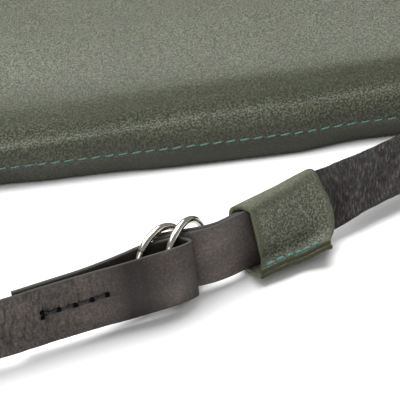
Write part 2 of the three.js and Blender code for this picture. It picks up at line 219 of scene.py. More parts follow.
# The keeper's strip in its cross-section: in front of and above the middle of the strap, its slide
# along the strap towards the rings at both ends, and how far it hangs at the far end. It lies
# between two row numbers of the right strap; its length, the place of its upper fold along the
# section and the place of its seam are in metres.
KEEPER_FROM = 11.9
KEEPER_TO = 9.98
KEEPER_LENGTH = 0.0265
KEEPER_FOLD = 0.0235
KEEPER_SEAM = 0.001
KeeperRow = namedtuple("KeeperRow", "front rise mouth far drop")
KEEPER_SECTION = [
    KeeperRow(8.0, -8.1, 2.8, 9.8, 3.9),
    KeeperRow(6.2, -8.15, 1.8, 9.0, 3.9),
    KeeperRow(4.6, -8.15, 0.6, 7.4, 3.9),
    KeeperRow(3.3, -7.8, -0.6, 5.4, 3.6),
    KeeperRow(2.5, -6.7, -1.4, 2.2, 2.6),
    KeeperRow(2.2, -3.68, -1.2, -0.5, 1.2),
    KeeperRow(2.3, 0.0, -0.8, -1.5, 0),
    KeeperRow(2.2, 3.68, -0.4, -1.5, 0),
    KeeperRow(2.1, 7.7, 0, -1.8, 0),
    KeeperRow(1.95, 9.3, 0.2, -1.8, 0),
    KeeperRow(1.15, 10.15, 0.6, -1.5, 0),
    KeeperRow(-0.4, 10.4, 1.2, -1.0, 0),
    KeeperRow(-2.0, 10.25, 2.0, -0.4, 0),
    KeeperRow(-3.4, 9.7, 2.8, 0.6, 0),
    KeeperRow(-4.1, 8.4, 3.4, 2.4, 0),
    KeeperRow(-4.1, 4.2, 3.8, 3.2, 0),
    KeeperRow(-4.1, 0.0, 3.8, 3.2, 0),
    KeeperRow(-4.1, -5.2, 3.4, 3.4, 0),
    KeeperRow(-4.1, -8.8, 3.0, 3.6, 0),
    KeeperRow(-3.5, -10.35, 2.6, 3.8, 0.3),
    KeeperRow(-1.2, -10.6, 2.2, 4.4, 0.8),
    KeeperRow(1.6, -10.6, 2.4, 7.6, 1.9),
    KeeperRow(5.0, -9.8, 3.2, 9.4, 3.4),
    KeeperRow(8.2, -9.5, 3.4, 10.2, 3.9),
]

# The soft lights: where they stand, what they face and their width, in metres.
LightRow = namedtuple("LightRow", "name spot aim size")
KEY_LIGHT = LightRow("key_light", (-0.1, 0.3, 0.95), (0.0, 0.0, 0.0), 1.2)
FILL_LIGHT = LightRow("fill_light", (-0.35, -0.95, 0.55), (0.0, -0.1, 0.0), 0.8)
SENSOR_MM = 36.0
FLOOR_REACH = 4.0


class PouchSettings(bpy.types.PropertyGroup):
    """Sizes and colour of the pouch."""

    half_width: FloatProperty(
        name="Half width",
        description="From the middle of the pouch to its side",
        default=PANEL_HIGH.x,
        unit="LENGTH",
    )
    half_depth: FloatProperty(
        name="Half depth",
        description="From the middle of the pouch to the lip of its mouth",
        default=0.0865,
        unit="LENGTH",
    )
    corner: FloatProperty(
        name="Corner", description="Radius of the outline's corners", default=0.018, unit="LENGTH"
    )
    wall: FloatProperty(
        name="Wall", description="Thickness of the leather", default=0.0016, unit="LENGTH"
    )
    mouth_full: FloatProperty(
        name="Mouth", description="Half the width that opens fully", default=0.084, unit="LENGTH"
    )
    mouth_ends: FloatProperty(
        name="Mouth ends",
        description="Where the mouth closes, from the middle",
        default=0.124,
        unit="LENGTH",
    )
    ripple: FloatProperty(
        name="Ripple",
        description="Height of the soft waves in the leather",
        default=0.0005,
        unit="LENGTH",
    )
    colour: FloatVectorProperty(
        name="Leather",
        description="Colour of the pouch",
        default=(0.096, 0.107, 0.06),
        **COLOUR,
    )
    rubbed: FloatVectorProperty(
        name="Rubbed leather",
        description="Colour of the keeper, which is rubbed paler",
        default=(0.195, 0.206, 0.146),
        **COLOUR,
    )


class StitchSettings(bpy.types.PropertyGroup):
    """Sizes and colours of the sewing."""

    pitch: FloatProperty(
        name="Pitch", description="From one stitch to the next", default=0.0046, unit="LENGTH"
    )
    length: FloatProperty(
        name="Length", description="Thread that shows in one stitch", default=0.0035, unit="LENGTH"
    )
    radius: FloatProperty(
        name="Thread", description="Radius of the thread", default=0.00027, unit="LENGTH"
    )
    teal: FloatVectorProperty(
        name="Topstitch",
        description="Colour of the topstitch",
        default=(0.085, 0.186, 0.168),
        **COLOUR,
    )
    black: FloatVectorProperty(
        name="Hand stitch",
        description="Colour of the waxed hand stitches",
        default=(0.006, 0.006, 0.006),
        **COLOUR,
    )


class StrapSettings(bpy.types.PropertyGroup):
    """Sizes and colour of the straps, and the keeper's wall."""

    width: FloatProperty(
        name="Width", description="Width of the strap", default=0.0193, unit="LENGTH"
    )
    thickness: FloatProperty(
        name="Thickness", description="Thickness of the strap", default=0.0015, unit="LENGTH"
    )
    crease: FloatProperty(
        name="Crease", description="Depth of the creases", default=0.00028, unit="LENGTH"
    )
    keeper_wall: FloatProperty(
        name="Keeper wall", description="Thickness of the keeper", default=0.0015, unit="LENGTH"
    )
    colour: FloatVectorProperty(
        name="Leather",
        description="Colour of the strap",
        default=(0.122, 0.1, 0.09),
        **COLOUR,
    )


class RingSettings(bpy.types.PropertyGroup):
    """Sizes and colour of the rings."""

    radius: FloatProperty(
        name="Radius", description="To the middle of the wire", default=0.01165, unit="LENGTH"
    )
    wire: FloatProperty(
        name="Wire", description="Radius of the wire", default=0.00115, unit="LENGTH"
    )
    colour: FloatVectorProperty(
        name="Nickel",
        description="Colour of the plating",
        default=(0.6, 0.565, 0.5),
        **COLOUR,
    )


class StageSettings(bpy.types.PropertyGroup):
    """Camera, light and floor."""

    focal: FloatProperty(
        name="Focal length",
        description="Lens for a 36 mm sensor",
        default=169.56,
        subtype="DISTANCE_CAMERA",
    )
    tilt: FloatProperty(
        name="Elevation",
        description="Camera above the horizon",
        default=np.radians(30.0),
        subtype="ANGLE",
    )
    roll: FloatProperty(
        name="Roll",
        description="Camera turned on its axis",
        default=np.radians(7.0),
        subtype="ANGLE",
    )
    distance: FloatProperty(
        name="Distance", description="From the camera to its target", default=0.6, unit="LENGTH"
    )
    target: FloatVectorProperty(
        name="Target",
        description="Point that the camera looks at",
        default=(0.008, -0.124, 0.010),
        subtype="TRANSLATION",
        unit="LENGTH",
    )
    key: FloatProperty(name="Key", description="Overhead soft light", default=23.5, subtype="POWER")
    fill: FloatProperty(name="Fill", description="Front soft light", default=3.0, subtype="POWER")
    ambient: FloatProperty(name="Ambient", description="Light from all round", default=0.33)


class Wire:
    """A shader socket that takes part in Python arithmetic; every operation adds a Math node."""

    def __init__(self, paint, socket):
        self.paint = paint
        self.socket = socket

    def math(self, operation, *values):
        return self.paint.add("ShaderNodeMath", {"operation": operation}, dict(enumerate(values)))

    def __add__(self, other):
        return self.math("ADD", self, other)

    __radd__ = __add__

    def __sub__(self, other):
        return self.math("SUBTRACT", self, other)

    def __rsub__(self, other):
        return self.math("SUBTRACT", other, self)

    def __mul__(self, other):
        return self.math("MULTIPLY", self, other)

    __rmul__ = __mul__

    def above(self, low, high):
        """0 up to low, 1 from high on, a smooth rise between; a fall where high is the lesser."""
        return self.paint.add(
            "ShaderNodeMapRange",
            {"interpolation_type": "SMOOTHSTEP"},
            {"Value": self, "From Min": low, "From Max": high},
        )


class Paint:
    """One material: nodes are added from their type, their settings and their sockets' values."""

    def __init__(self, name):
        self.material = bpy.data.materials.new(name)
        self.material.use_nodes = True
        self.nodes = self.material.node_tree.nodes
        self.links = self.material.node_tree.links
        self.shader = self.nodes["Principled BSDF"]

    def add(self, kind, settings=None, sockets=None, output=0):
        node = self.nodes.new(kind)
        for key, value in (settings or {}).items():
            setattr(node, key, value)
        for key, value in (sockets or {}).items():
            self.set(node.inputs[key], value)
        return Wire(self, node.outputs[output])

    def set(self, socket, value):
        if isinstance(value, Wire):
            self.links.new(value.socket, socket)
        else:
            socket.default_value = value

    def finish(self, **sockets):
        for key, value in sockets.items():
            self.set(self.shader.inputs[key.replace("_", " ")], value)
        return self.material

    def place(self):
        return self.add("ShaderNodeTexCoord", output="Object")

    def attribute(self, name, output="Fac"):
        return self.add("ShaderNodeAttribute", {"attribute_name": name}, output=output)

    def noise(self, at, scale, detail=3.0, roughness=0.5):
        return self.add(
            "ShaderNodeTexNoise",
            None,
            {"Vector": at, "Scale": scale, "Detail": detail, "Roughness": roughness},
        )

    def cells(self, at, scale, smoothness=0.6):
        return self.add(
            "ShaderNodeTexVoronoi",
            {"feature": "SMOOTH_F1"},
            {"Vector": at, "Scale": scale, "Smoothness": smoothness},
        )

    def stretch(self, at, scale):
        return self.add("ShaderNodeMapping", None, {"Vector": at, "Scale": scale})

    def mix(self, factor, first, second):
        """From the first colour to the second."""
        return self.add(
            "ShaderNodeMix",
            {"data_type": "RGBA", "clamp_factor": True},
            {0: factor, 6: first, 7: second},
            output=2,
        )

    def bump(self, height, distance, strength=1.0):
        return self.add(
            "ShaderNodeBump", None, {"Height": height, "Distance": distance, "Strength": strength}
        )


def opaque(colour, scale=1.0):
    """A colour with its brightness scaled, as four numbers for a socket."""
    return (*(min(1.0, part * scale) for part in colour), 1.0)


def green_leather(settings):
    """Fine pebbled leather: dark pores between pebbles on soft clouds of tone; paler where rubbed,
    smooth where drawn tight and darkened there, which on the pouch is painted shade on the steep
    band, painted shade on the near roll, brown flesh where raw, and lighter on dressed rims."""
    paint = Paint("pouch_leather")
    at = paint.place()
    pebble = paint.noise(at, scale=1550.0, detail=1.0, roughness=0.5)
    cell = paint.cells(at, scale=1400.0, smoothness=0.3)
    grit = paint.noise(at, scale=2400.0, detail=1.0, roughness=0.6)
    cloud = paint.noise(at, scale=30.0, detail=4.0, roughness=0.6)
    patch = paint.noise(at, scale=12.0, detail=2.0)
    layers = ("pale", "smooth", "roll_shade", "rim", "raw")
    pale, smooth, roll_shade, rim, raw = (paint.attribute(layer) for layer in layers)
    grain = 1.0 - smooth * 0.75

    def tone(scale):
        return opaque(settings.colour, scale)

    base = paint.mix(cloud.above(0.3, 0.7), tone(0.92), tone(1.12))
    base = paint.mix(pale, base, opaque(settings.rubbed))
    # Darker where smooth: on the pouch this is painted shade on the steep band above the roll; on
    # the keeper it darkens its ends and upper fold.
    base = paint.mix(smooth * (1.0 - pale) * 0.85, base, tone(0.5))
    base = paint.mix(pebble.above(0.56, 0.44) * grain, base, tone(0.22))
    base = paint.mix(pale * grit.above(0.54, 0.42) * grain * 0.45, base, tone(0.3))
    base = paint.mix(cell.above(0.35, 0.65) * 0.5, base, tone(0.3))
    # Painted shade on the near roll, deepening downwards.
    base = paint.mix(roll_shade * 0.94, base, tone(0.19))
    base = paint.mix(rim * 0.6, base, tone(1.5))
    fibre = paint.noise(at, scale=900.0)
    flesh = paint.mix(fibre, opaque((0.028, 0.026, 0.013)), opaque((0.06, 0.056, 0.03)))
    base = paint.mix(raw, base, flesh)
    rough = 0.58 - pebble * 0.22 + patch * 0.1 + raw * 0.3 + smooth * 0.2
    height = (pebble - cell * 0.5) * (1.0 - smooth * 0.8)
    normal = paint.bump(height, distance=0.00025, strength=1.0)
    return paint.finish(Base_Color=base, Roughness=rough, Normal=normal, IOR=1.45)


def brown_leather(settings):
    """Waxed strap leather: brown on near black, with painted sheen where the face catches the light
    and a painted shadow at the keeper's mouth, painted shade in the creases, fine specks, short
    pale and dark lines across the worn length, and polished cut edges."""
    paint = Paint("strap_leather")
    flow = paint.attribute("flow", "Vector")
    cell = paint.cells(flow, scale=1900.0)
    speck = paint.noise(flow, scale=1300.0, detail=2.0, roughness=0.6)
    across = paint.stretch(flow, (1500.0, 420.0, 400.0))
    line = paint.noise(across, scale=1.0, detail=4.0, roughness=0.6)
    broad = paint.stretch(flow, (60.0, 120.0, 60.0))
    cloud = paint.noise(broad, scale=1.0, detail=3.0, roughness=0.6)
    layers = ("crease", "worn", "tone", "raw")
    crease, worn, rubbed, raw = (paint.attribute(layer) for layer in layers)
    # The tone attribute, read as rubbed here, is the leather's own brown mixed with painted sheen
    # and a painted shadow at the keeper's mouth.
    sheen_and_brown = rubbed * (0.7 + 0.6 * cloud.above(0.3, 0.75))

    def tone(scale):
        return opaque(settings.colour, scale)

    base = paint.mix(sheen_and_brown, tone(0.12), tone(1.0))
    # Darker in the creases: painted shade in their grooves.
    base = paint.mix(crease * 0.75, base, tone(0.08))
    base = paint.mix(speck.above(0.6, 0.42) * 0.45, base, tone(0.2))
    base = paint.mix(speck.above(0.5, 0.7) * 0.12, base, tone(1.5))
    base = paint.mix(worn * line.above(0.52, 0.7) * 0.28, base, tone(1.5))
    base = paint.mix(worn * line.above(0.55, 0.43) * 0.92, base, tone(0.04))
    base = paint.mix(raw, base, opaque((0.03, 0.031, 0.027)))
    rough = 0.5 + cell * 0.16 + crease * 0.15 - sheen_and_brown * 0.05
    height = cell * -0.5 + line.above(0.3, 0.6) * (0.7 + worn * 2.6)
    normal = paint.bump(height, distance=0.00012, strength=0.6)
    return paint.finish(Base_Color=base, Roughness=rough, Normal=normal, Specular_IOR_Level=0.28)


def polished_nickel(settings):
    """Plated wire with a faint mottle, hairline wear and a dark line where its ends meet."""
    paint = Paint("ring_nickel")
    at = paint.place()
    mottle = paint.noise(at, scale=700.0, detail=3.0)
    hair = paint.noise(paint.stretch(at, (300.0, 300.0, 6000.0)), scale=1.0, detail=2.0)
    bright, dull = opaque(settings.colour), opaque(settings.colour, 0.86)
    base = paint.mix(mottle.above(0.3, 0.8), bright, dull)
    base = paint.mix(paint.attribute("joint"), base, opaque(settings.colour, 0.05))
    rough = 0.06 + mottle * 0.1 + hair * 0.04
    normal = paint.bump(hair, distance=0.00002, strength=0.3)
    return paint.finish(Base_Color=base, Roughness=rough, Metallic=1.0, Normal=normal)


def twisted_thread(name, colour, rough):
    """Plied thread: slanted strands round the stitch, lighter on their crests and darker between
    them as painted highlight and shade, and a little fluff of tone.
    """
    paint = Paint(name)
    strand = paint.add(
        "ShaderNodeTexWave",
        {"wave_type": "BANDS", "bands_direction": "DIAGONAL"},
        {
            "Vector": paint.attribute("flow", "Vector"),
            "Scale": 520.0,
            "Distortion": 0.6,
            "Detail": 1.0,
        },
        output="Fac",
    )
    fluff = paint.noise(paint.place(), scale=2500.0)
    # Strands lighter on their crests and darker between them: painted highlight and shade on the
    # plies.
    base = paint.mix(strand.above(0.1, 0.6), opaque(colour, 0.55), opaque(colour, 1.15))
    base = paint.mix(fluff * 0.3, base, opaque(colour, 1.6))
    normal = paint.bump(strand, distance=0.0001, strength=0.6)
    return paint.finish(Base_Color=base, Roughness=rough + fluff * 0.15, Normal=normal)


def hole_shade():
    """Painted shade for a stitch hole: an almost black, matt spot with a faint mottle."""
    paint = Paint("painted_hole_shade")
    mottle = paint.noise(paint.place(), scale=2500.0)
    base = paint.mix(mottle, opaque((0.0015, 0.0015, 0.0015)), opaque((0.004, 0.004, 0.004)))
    return paint.finish(Base_Color=base, Roughness=0.9, Specular_IOR_Level=0.05)


def pale_floor():
    """Matt white floor with hardly any change of tone."""
    paint = Paint("floor")
    drift = paint.noise(paint.place(), scale=4.0)
    base = paint.mix(drift * 0.1, opaque((0.93, 0.93, 0.93)), opaque((0.9, 0.9, 0.9)))
    return paint.finish(Base_Color=base, Roughness=0.7)


def ease(value):
    """Smooth step from 0 to 1."""
    t = np.clip(value, 0.0, 1.0)
    return t * t * (3.0 - 2.0 * t)


def rise(value, start, reach):
    """0 up to the start, then a smooth rise to 1 over the reach."""
    return ease((value - start) / reach)


def fall(value, stop, reach):
    """1 until the reach before the stop, then a smooth fall to 0."""
    return ease((stop - value) / reach)


def hump(value, middle, reach):
    """A bell of height 1 round the middle."""
    return np.exp(-(((value - middle) / reach) ** 2))


def unit(vectors):
    """Vectors of length one."""
    return vectors / np.maximum(np.linalg.norm(vectors, axis=-1, keepdims=True), 1e-12)


def line_length(points):
    """Length of a line of points up to each of them."""
    steps = np.linalg.norm(np.diff(points, axis=0), axis=1)
    return np.concatenate([[0.0], np.cumsum(steps)])


def read_line(where, run, vectors):
    """Vectors that are given along a line, read at other lengths of it."""
    return np.stack([np.interp(where, run, column) for column in vectors.T], -1)


def curve_at(knots, place, power=0.5):
    """Catmull-Rom curve through the knots, read at fractional knot numbers; the knots' spacing
    is their distance to the given power, so that 0 is even and 0.5 never loops."""
    padded = np.vstack([2 * knots[:1] - knots[1:2], knots, 2 * knots[-1:] - knots[-2:-1]])
    first = np.clip(np.floor(place).astype(int), 0, len(knots) - 2)
    t = (place - first)[:, None]
    a, b, c, d = (padded[first + i] for i in range(4))
    gaps = (np.linalg.norm(q - p, axis=1)[:, None] for p, q in ((a, b), (b, c), (c, d)))
    before, here, after = (np.maximum(gap, 1e-9) ** power for gap in gaps)
    start = here * ((b - a) / before - (c - a) / (before + here) + (c - b) / here)
    stop = here * ((c - b) / here - (d - b) / (here + after) + (d - c) / after)
    square = 3 * (c - b) - 2 * start - stop
    cube = 2 * (b - c) + start + stop
    return b + start * t + square * t**2 + cube * t**3


def fold_rows(rows):
    """Rows measured at the left fold, turned and moved into the bag's frame."""
    turn = np.radians(FOLD_HEADING)
    c, s = np.cos(turn), np.sin(turn)
    x0, y0 = FOLD_ORIGIN
    return [
        BandRow(x0 + r.s * c - r.h * s, y0 + r.s * s + r.h * c, r.z, r.lean, r.bow) for r in rows
    ]


LEFT_ROWS = LEFT_RUN + fold_rows(LEFT_FOLD)
RIGHT_ROWS = RIGHT_RUN + fold_rows(RIGHT_FOLD)
StrapRow = namedtuple("StrapRow", "node rows tone crease slack seed spread slant")
STRAPS = [
    StrapRow("strap_left", LEFT_ROWS, LEFT_TONE, LEFT_CREASE, LEFT_SLACK, 11, 0.35, 0.0),
    StrapRow("strap_right", RIGHT_ROWS, RIGHT_TONE, RIGHT_CREASE, RIGHT_SLACK, 23, 0.7, 0.7),
]


def band_frame(rows, place):
    """Middle, run, width and face directions of a band at fractional row numbers: upright, then
    turned about its run by the lean, which eases from row to row as the bow does."""
    table = np.array(rows, float)
    knots = table[:, :3] * MM
    top = len(rows) - 1.0
    middle = curve_at(knots, place)
    nudge = 0.01
    after = curve_at(knots, np.minimum(place + nudge, top))
    before = curve_at(knots, np.maximum(place - nudge, 0.0))
    along = unit(after - before)
    first = np.clip(np.floor(place).astype(int), 0, len(rows) - 2)
    share = ease(place - first)[:, None]
    lean, bow = (table[first, 3:] * (1 - share) + table[first + 1, 3:] * share).T
    upright = unit(np.array([0.0, 0.0, 1.0]) - along * along[:, 2:])
    left = np.cross(upright, along)
    turn = np.radians(lean)[:, None]
    wide = upright * np.cos(turn) + left * np.sin(turn)
    return middle, along, wide, np.cross(wide, along), bow * MM


def band_length(rows):
    """Row numbers and the length of the band's middle up to each, on a dense run."""
    place = np.linspace(0.0, len(rows) - 1.0, STRAP_SAMPLES)
    return place, line_length(curve_at(np.array(rows, float)[:, :3] * MM, place))


def edged(length, step, lip):
    """Positions from 0 to a length, close together within the rounded lip at both ends."""
    close = lip * (1 - np.cos(np.linspace(0.0, np.pi / 2, LIP_STEPS)))
    inner = np.linspace(lip, length - lip, max(2, int(round(length / step))))
    return np.concatenate([close[:-1], inner, (length - close[::-1])[1:]])


def half_wall(rows, columns, wall, lip):
    """Half the thickness over a sheet: full inside and an ellipse's fall to nothing at its rim;
    with it the distances from the ends and from the sides, in lips."""
    ends = np.minimum(rows - rows[0], rows[-1] - rows)[:, None] / lip
    sides = np.minimum(columns - columns[0], columns[-1] - columns)[None, :] / lip
    inside = np.clip(np.minimum(ends, sides), 0.0, 1.0)
    half = 0.5 * wall * np.sqrt(np.maximum(0.0, 1.0 - (1.0 - inside) ** 2))
    shape = np.broadcast_shapes(ends.shape, sides.shape)
    return half, np.broadcast_to(ends, shape), np.broadcast_to(sides, shape)


def sheet_normals(grid):
    """Directions square to a sheet of points, from its slopes along both parameters."""
    return unit(np.cross(np.gradient(grid, axis=0), np.gradient(grid, axis=1)))


def grid_faces(rows, columns, loop=False):
    """Corner numbers of a grid's four-sided faces; loop joins the last column to the first."""
    strips = columns if loop else columns - 1
    i, j = np.meshgrid(np.arange(rows - 1), np.arange(strips), indexing="ij")
    k = (j + 1) % columns
    here, above = i * columns, (i + 1) * columns
    return np.stack([here + j, here + k, above + k, above + j], -1).reshape(-1, 4)


def new_piece(name, points, faces, material, values=None, vectors=None):
    """Puts points and four-sided faces into a mesh at the origin, with its surface attributes,
    closes coincident points, turns its faces outwards and lets it ride on the bag."""
    mesh = bpy.data.meshes.new(name)
    mesh.from_pydata(points.reshape(-1, 3), [], faces)
    for kind, field, layers in (("FLOAT", "value", values), ("FLOAT_VECTOR", "vector", vectors)):
        for key, value in (layers or {}).items():
            layer = mesh.attributes.new(key, kind, "POINT")
            layer.data.foreach_set(field, value.ravel().astype(np.float32))
    work = bmesh.new()
    work.from_mesh(mesh)
    bmesh.ops.remove_doubles(work, verts=work.verts, dist=MERGE)
    bmesh.ops.recalc_face_normals(work, faces=work.faces)
    work.to_mesh(mesh)
    work.free()
    mesh.polygons.foreach_set("use_smooth", np.ones(len(mesh.polygons), bool))
    mesh.materials.append(material)
    piece = bpy.data.objects.new(name, mesh)
    bpy.context.scene.collection.objects.link(piece)
    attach(piece, BODY)
    return piece


def leather_sheet(name, grid, rows, columns, wall, lip, material, values, vectors):
    """A sheet of leather: its middle surface set off to both sides by half its wall, with the
    two faces meeting in a rounded rim; raw is 1 on the cut sides and rim is 1 on the ends."""
    half, ends, sides = half_wall(rows, columns, wall, lip)
    normals = sheet_normals(grid)
    points = np.stack([grid + normals * half[..., None], grid - normals * half[..., None]])
    count = grid.shape[0] * grid.shape[1]
    faces = grid_faces(*grid.shape[:2])
    faces = np.concatenate([faces, faces[:, ::-1] + count])
    values = {key: np.stack([value, value]) for key, value in values.items()}
    sharp, raw_lip, rim_lip = 1.4, 0.2, 0.4
    values["raw"] = np.stack([1 - ease(sides * sharp - raw_lip)] * 2)
    values["rim"] = np.stack([1 - ease(ends * sharp - rim_lip)] * 2)
    vectors = {key: np.stack([value, value]) for key, value in vectors.items()}
    return new_piece(name, points, faces, material, values, vectors)


def random_waves(first, second, seed, longest, shortest, spread, count=36):
    """A field of many plane waves with seeded directions and phases, about 1 in size."""
    draw = np.random.default_rng(seed)
    number = 2 * np.pi / draw.uniform(shortest, longest, count)
    turn = draw.uniform(-spread, spread, count)
    phase = draw.uniform(0, 2 * np.pi, count)
    field = np.zeros(np.broadcast(first, second).shape)
    for k, a, p in zip(number, turn, phase):
        field += np.cos(k * np.cos(a) * first + k * np.sin(a) * second + p)
    return field / np.sqrt(count / 2)


def stations(long_count, short_count, corner_count):
    """Round the pouch's outline, anticlockwise from its near left: the place on the inner
    rectangle as two shares from -1 to 1, and the direction out of the outline."""
    sides = [((-1, -1), (1, -1), -90, long_count), ((1, -1), (1, 1), 0, short_count)]
    sides += [((1, 1), (-1, 1), 90, long_count), ((-1, 1), (-1, -1), 180, short_count)]
    shares, turns = [], []
    for start, stop, angle, count in sides:
        t = np.linspace(0.0, 1.0, count)[:, None]
        straight = np.array(start) * (1 - t) + np.array(stop) * t
        shares += [straight, np.tile(np.array(stop, float), (corner_count, 1))]
        bend = 90 * np.arange(1, corner_count + 1) / (corner_count + 1)
        turns += [np.full(count, angle), angle + bend]
    turn = np.radians(np.concatenate(turns))
    return np.concatenate(shares), np.stack([np.cos(turn), np.sin(turn)], -1)


def mouth_closed(pouch, across):
    """0 where the mouth opens fully and 1 past its ends, at distances from the bag's middle."""
    return rise(across, pouch.mouth_full, pouch.mouth_ends - pouch.mouth_full)


def edge_weights(pouch, share, out):
    """How much of the near edge's, the sides' and the mouth's profile each station has."""
    near = np.maximum(0.0, -out[:, 1]) ** 2
    across = np.abs(share[:, 0]) * (pouch.half_width - pouch.corner)
    mouth = np.maximum(0.0, out[:, 1]) ** 2 * (1 - mouth_closed(pouch, across))
    return near, 1 - near - mouth, mouth


def skin_grid(pouch, skin, place, share, out):
    """Points of a panel's outer skin: at each row number the outline set in by the row's inset, at
    the row's height, both mixed from the near, side and mouth columns by the station's weights."""
    weights = np.stack(edge_weights(pouch, share, out))
    lines = curve_at(np.array(skin), place, 0.0) * MM
    inset = lines[:, 0::2] @ weights
    height = lines[:, 1::2] @ weights
    corner = pouch.corner * (1 - inset / pouch.half_depth)
    half_x = pouch.half_width - inset - corner
    half_y = pouch.half_depth - inset - corner
    x = share[:, 0] * half_x + out[:, 0] * corner
    y = share[:, 1] * half_y + out[:, 1] * corner
    return np.stack([x, y, height], -1)


def dome_height(pouch, x, y):
    """Height of the plump top: the least of the four edges' profiles at their distances, with the
    hips between them rounded by a soft minimum."""
    rows = np.linspace(WIDEST_LINE, len(FRONT_SKIN) - 1.0, DOME_SAMPLES)
    lines = curve_at(np.array(FRONT_SKIN), rows, 0.0) * MM
    slope = 0.006

    def profile(distance, column):
        inside = np.interp(distance, lines[:, column], lines[:, column + 1])
        return inside + slope * np.maximum(0.0, distance - lines[-1, column])

    near = profile(y + pouch.half_depth, 0)
    left = profile(x + pouch.half_width, 2)
    right = profile(pouch.half_width - x, 2)
    far_gap = pouch.half_depth - y
    closed = mouth_closed(pouch, np.abs(x))
    far = profile(far_gap, 4) * (1 - closed) + profile(far_gap, 2) * closed
    soft = 0.0009
    return -soft * np.log(sum(np.exp(-edge / soft) for edge in (near, left, right, far)))


def sway(pouch, points):
    """Slow uneven shapes that a filled leather pouch settles into: the near roll bellies out and
    is tucked in to the left, the near edge is drawn in to the right, the shelf above it climbs
    from left to right, and the top ripples. Each is a size times smooth steps, bells and waves."""
    x, y, z = np.moveaxis(points, -1, 0)
    moved = points.copy()
    front = rise(-y, 0.03, 0.05)
    low = fall(z, 0.010, 0.007)
    belly = 0.0005 * hump(x, 0.03, 0.04) + 0.0002 * np.sin(x / 0.011 + 1.0)
    belly = belly + 0.0005 * hump(x, 0.034, 0.018)
    tuck = 0.0006 + 0.0009 * fall(x, -0.004, 0.016) + 0.0012 * fall(x, -0.042, 0.015)
    moved[..., 1] -= front * low * (belly - tuck)
    drawn = front * fall(z, 0.030, 0.012) * rise(x, 0.042, 0.024)
    moved[..., 1] += drawn * (0.0018 + 0.0014 * low)
    shelf = front * rise(z, 0.010, 0.005) * fall(z, 0.029, 0.009)
    climb = np.clip(x, -0.08, 0.09)
    moved[..., 1] += shelf * (0.016 * climb + 0.0005 * np.sin(x / 0.017 + 0.4))
    moved[..., 2] += shelf * 0.013 * climb
    top = rise(z, 0.012, 0.012)
    wave = random_waves(x, y, seed=4, longest=0.11, shortest=0.045, spread=np.pi, count=18)
    moved[..., 2] += top * pouch.ripple * wave
    return moved


def panel_rows(last_row, rim_count, inner_count):
    """Row numbers of a panel's rim, and the shares of the way on from there to the middle."""
    inward = np.linspace(0.0, 1.0, inner_count + 1)[1:] ** 0.8
    return np.linspace(0.0, last_row, rim_count), inward


def front_skin(pouch, place, inward, share, out):
    """The upper panel's outer skin: the rolled rim by rows, then the rim's last ring drawn in to
    the middle, with its height from the dome."""
    rim = skin_grid(pouch, FRONT_SKIN, place, share, out)
    rows_to_dome = 3.0
    on_dome = rise(place, SHOULDER_LINE - rows_to_dome, rows_to_dome)[:, None]
    rim[..., 2] += on_dome * (dome_height(pouch, rim[..., 0], rim[..., 1]) - rim[..., 2])
    inner = rim[-1:, :, :2] * (1 - inward)[:, None, None]
    height = dome_height(pouch, inner[..., 0], inner[..., 1])
    return sway(pouch, np.concatenate([rim, np.concatenate([inner, height[..., None]], -1)]))


def back_skin(pouch, place, inward, share, out):
    """The lower panel's outer skin: the rolled rim by rows, then the rim's last ring drawn in flat
    to the middle, with nothing below the floor."""
    rim = skin_grid(pouch, BACK_SKIN, place, share, out)
    flat = rim[-1:] * (1 - inward)[:, None, None]
    skin = sway(pouch, np.concatenate([rim, flat]))
    skin[..., 2] = np.maximum(skin[..., 2], 0.0)
    return skin


def panel_shell(name, outer, wall, up, material):
    """A panel closed round its rim: the outer skin, the same skin set in by the wall, and a rounded
    bead between them. The inside is the leather's raw flesh side, the near roll carries painted
    shade that deepens downwards, and the steep band above it is smooth and darkened by painted
    shade."""
    wrapped = np.concatenate([outer[:, -1:], outer, outer[:, :1]], 1)
    normals = sheet_normals(wrapped)[:, 1:-1]
    normals[-1] = (0.0, 0.0, up)
    near_middle = normals[-8]
    side = np.sign(np.sum(near_middle[:, 2]) * up)
    inner = outer - normals * side * wall
    middle = 0.5 * (outer[:1] + inner[:1])
    bead = middle - unit(outer[1:2] - outer[:1]) * wall * 0.35
    rows = np.concatenate([inner[::-1], bead, outer])
    raw = np.zeros(rows.shape[:2])
    raw[: inner.shape[0]] = 1.0
    x, y, z = np.moveaxis(rows, -1, 0)
    # Painted shade on the near roll: it deepens downwards and is lighter to the left.
    front = rise(-y, 0.05, 0.03) * (0.72 + 0.28 * rise(x, -0.045, 0.05))
    roll_shade = front * (0.5 * fall(z, 0.0155, 0.005) + 0.5 * fall(z, 0.0085, 0.0035))
    # The steep band is smooth, and the leather paint darkens it there as painted shade.
    smooth = 0.55 * rise(-y, 0.03, 0.025) * fall(z, 0.0305, 0.007) * rise(z, 0.0165, 0.004)
    faces = grid_faces(*rows.shape[:2], loop=True)
    tones = {"raw": raw, "roll_shade": roll_shade, "smooth": smooth}
    return new_piece(name, rows, faces, material, tones)


